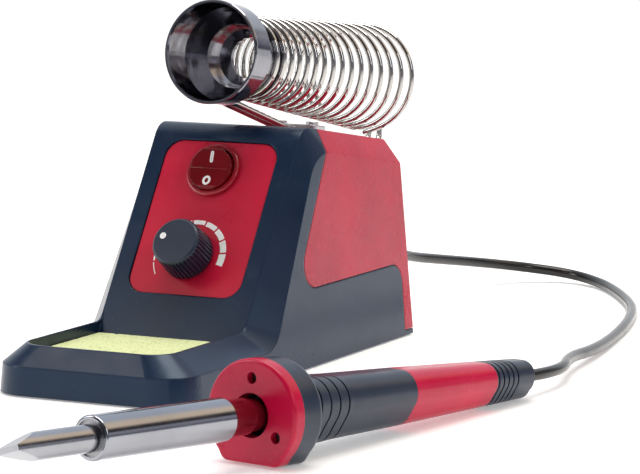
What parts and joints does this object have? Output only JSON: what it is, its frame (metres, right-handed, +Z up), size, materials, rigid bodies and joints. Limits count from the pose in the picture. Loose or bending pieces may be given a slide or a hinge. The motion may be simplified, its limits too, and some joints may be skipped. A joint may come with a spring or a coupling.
{
  "type": "soldering iron station",
  "caption": "Bench soldering station: sloped control housing with a sponge tray, coil-spring iron holder on top, and a corded soldering iron lying beside it.",
  "frame": {"origin": "centre of the housing's underside, on the table", "axes": "+Z up, -Y towards the user at the sponge tray, +X to the user's right where the iron lies"},
  "size_m": [0.184, 0.5348, 0.1388],
  "materials": {
    "housing_dark": "satin moulded plastic",
    "cover_red": "satin moulded plastic",
    "panel_crimson": "satin moulded plastic",
    "rubber_black": "matte",
    "screw_steel": "zinc plated",
    "sponge": "damp cellulose",
    "rocker_red": "gloss translucent",
    "brass": "satin",
    "knob_dark": "fine matte",
    "print_white": "printed ink",
    "steel": "satin",
    "board_green": "lacquered board",
    "component_black": "matte",
    "aluminium": "extruded",
    "glass": "clear",
    "chrome": "polished",
    "tip_plated": "iron plated, satin",
    "ceramic": "fired ceramic",
    "barrel_steel": "polished tube",
    "collar_red": "gloss",
    "handle_red": "satin",
    "grip_dark": "soft touch",
    "cord_black": "gloss jacket"
  },
  "bodies": {
    "root": {"base_housing": "housing_dark", "board_screws": "screw_steel", "board_standoffs": "steel", "bottom_plate": "housing_dark", "bottom_screws": "screw_steel", "bracket_saddle": "steel", "control_board": "board_green", "control_panel": "panel_crimson", "cord_boot": "grip_dark", "dial_scale": "print_white", "flange_ring": "handle_red", "flange_screws": "screw_steel", "front_grip": "grip_dark", "funnel_cup": "chrome", "fuse": "glass", "fuse_holder": "component_black", "handle_core": "component_black", "heater_collar": "collar_red", "heater_element": "ceramic", "holder_bracket": "chrome", "holder_coil": "chrome", "holder_funnel": "chrome", "iron_barrel": "barrel_steel", "iron_cord": "cord_black", "iron_cord_gland": "rubber_black", "iron_tip": "tip_plated", "mains_capacitor": "component_black", "mains_cord_gland": "rubber_black", "potentiometer_body": "steel", "potentiometer_nut": "steel", "power_triac": "component_black", "red_cover": "cover_red", "red_sleeve": "handle_red", "rubber_feet": "rubber_black", "saddle_screws": "screw_steel", "switch_body": "rocker_red", "switch_terminals": "brass", "terminal_block": "component_black", "tip_collet": "barrel_steel", "triac_heat_sink": "aluminium"},
    "rocker": {"switch_rocker": "rocker_red"},
    "knob": {"dial_knob": "knob_dark", "knob_pointer": "print_white", "potentiometer_shaft": "steel"},
    "sponge": {"sponge": "sponge"}
  },
  "joints": [
    {"name": "power_rocker", "type": "hinge", "parent": "root", "child": "rocker", "pos_m": [-0.0012, 0.00595, 0.07294], "axis": [-1, 0, 0], "range_deg": [0, 11]},
    {"name": "temperature_dial", "type": "hinge", "parent": "root", "child": "knob", "pos_m": [-0.0012, -0.01422, 0.04312], "axis": [0, 0.8406, -0.5417], "range_deg": [-51, 182]},
    {"name": "sponge_lift", "type": "slide", "parent": "root", "child": "sponge", "axis": [0, 0, 1], "range_m": [0, 0.04]}
  ]
}
